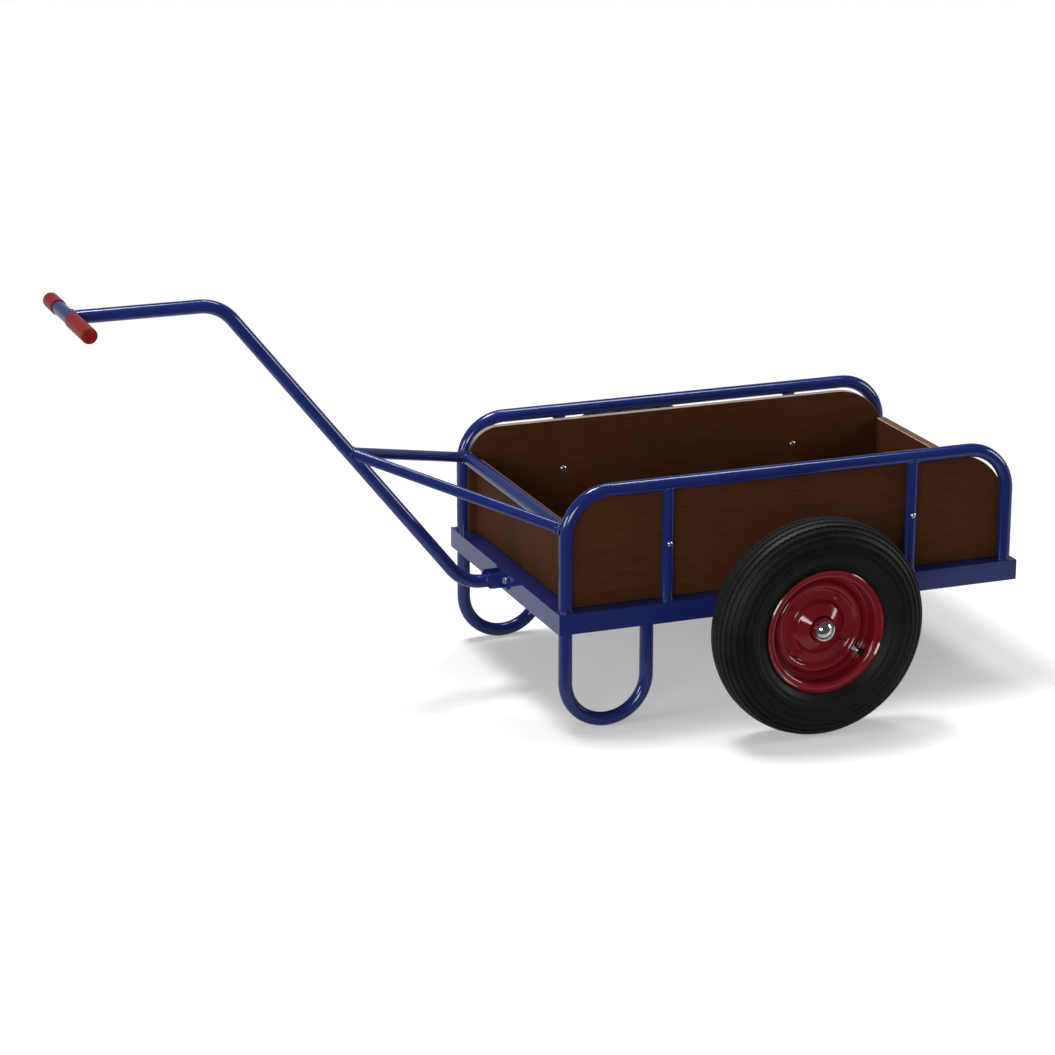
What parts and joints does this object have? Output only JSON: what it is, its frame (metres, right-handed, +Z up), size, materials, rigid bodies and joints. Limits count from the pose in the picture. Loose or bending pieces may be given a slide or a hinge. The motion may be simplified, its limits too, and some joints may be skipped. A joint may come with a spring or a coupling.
{
  "type": "hand cart",
  "caption": "Two-wheeled hand cart: boarded load bed between bent-tube side frames, bent drawbar with struts and a T handle, pneumatic wheels and stand loops.",
  "frame": {"origin": "on the floor, in the middle of the whole cart's plan outline", "axes": "+X forwards towards the handle, +Y to the cart's left, +Z up"},
  "size_m": [1.7242, 0.9582, 0.7862],
  "materials": {
    "blue_enamel": "gloss enamel",
    "film_board": "smooth phenolic film on plywood",
    "red_enamel": "gloss enamel",
    "red_plastic": "moulded",
    "tyre_rubber": "moulded rubber",
    "chrome": "polished",
    "bare_steel": "zinc plated"
  },
  "bodies": {
    "root": {"drawbar": "blue_enamel", "drawbar_bracket": "blue_enamel", "front_cross_bar": "blue_enamel", "frame_front": "blue_enamel", "frame_rear": "blue_enamel", "floor_bearer_front": "blue_enamel", "floor_bearer_rear": "blue_enamel", "cross_handle": "blue_enamel", "frame_side_left": "blue_enamel", "side_frame_left": "blue_enamel", "mid_post_left_front": "blue_enamel", "mid_post_left_rear": "blue_enamel", "stand_loop_left": "blue_enamel", "strut_left": "blue_enamel", "axle_plate_left": "blue_enamel", "axle_sleeve_left": "blue_enamel", "frame_side_right": "blue_enamel", "side_frame_right": "blue_enamel", "mid_post_right_front": "blue_enamel", "mid_post_right_rear": "blue_enamel", "stand_loop_right": "blue_enamel", "strut_right": "blue_enamel", "axle_plate_right": "blue_enamel", "axle_sleeve_right": "blue_enamel", "floor_board": "film_board", "front_board": "film_board", "rear_board": "film_board", "side_board_left": "film_board", "side_board_right": "film_board", "axle": "bare_steel", "grip_left": "red_plastic", "grip_right": "red_plastic"},
    "wheel_left": {"tyre_left": "tyre_rubber", "rim_outer_left": "red_enamel", "rim_inner_left": "red_enamel", "hub_left": "red_enamel", "hub_cap_left": "chrome"},
    "wheel_right": {"tyre_right": "tyre_rubber", "rim_outer_right": "red_enamel", "rim_inner_right": "red_enamel", "hub_right": "red_enamel", "hub_cap_right": "chrome"}
  },
  "joints": [
    {"name": "wheel_left_spin", "type": "hinge", "parent": "root", "child": "wheel_left", "pos_m": [-0.38212, 0.431, 0.2], "axis": [0, 1, 0], "continuous": true},
    {"name": "wheel_right_spin", "type": "hinge", "parent": "root", "child": "wheel_right", "pos_m": [-0.38212, -0.431, 0.2], "axis": [0, 1, 0], "continuous": true}
  ]
}
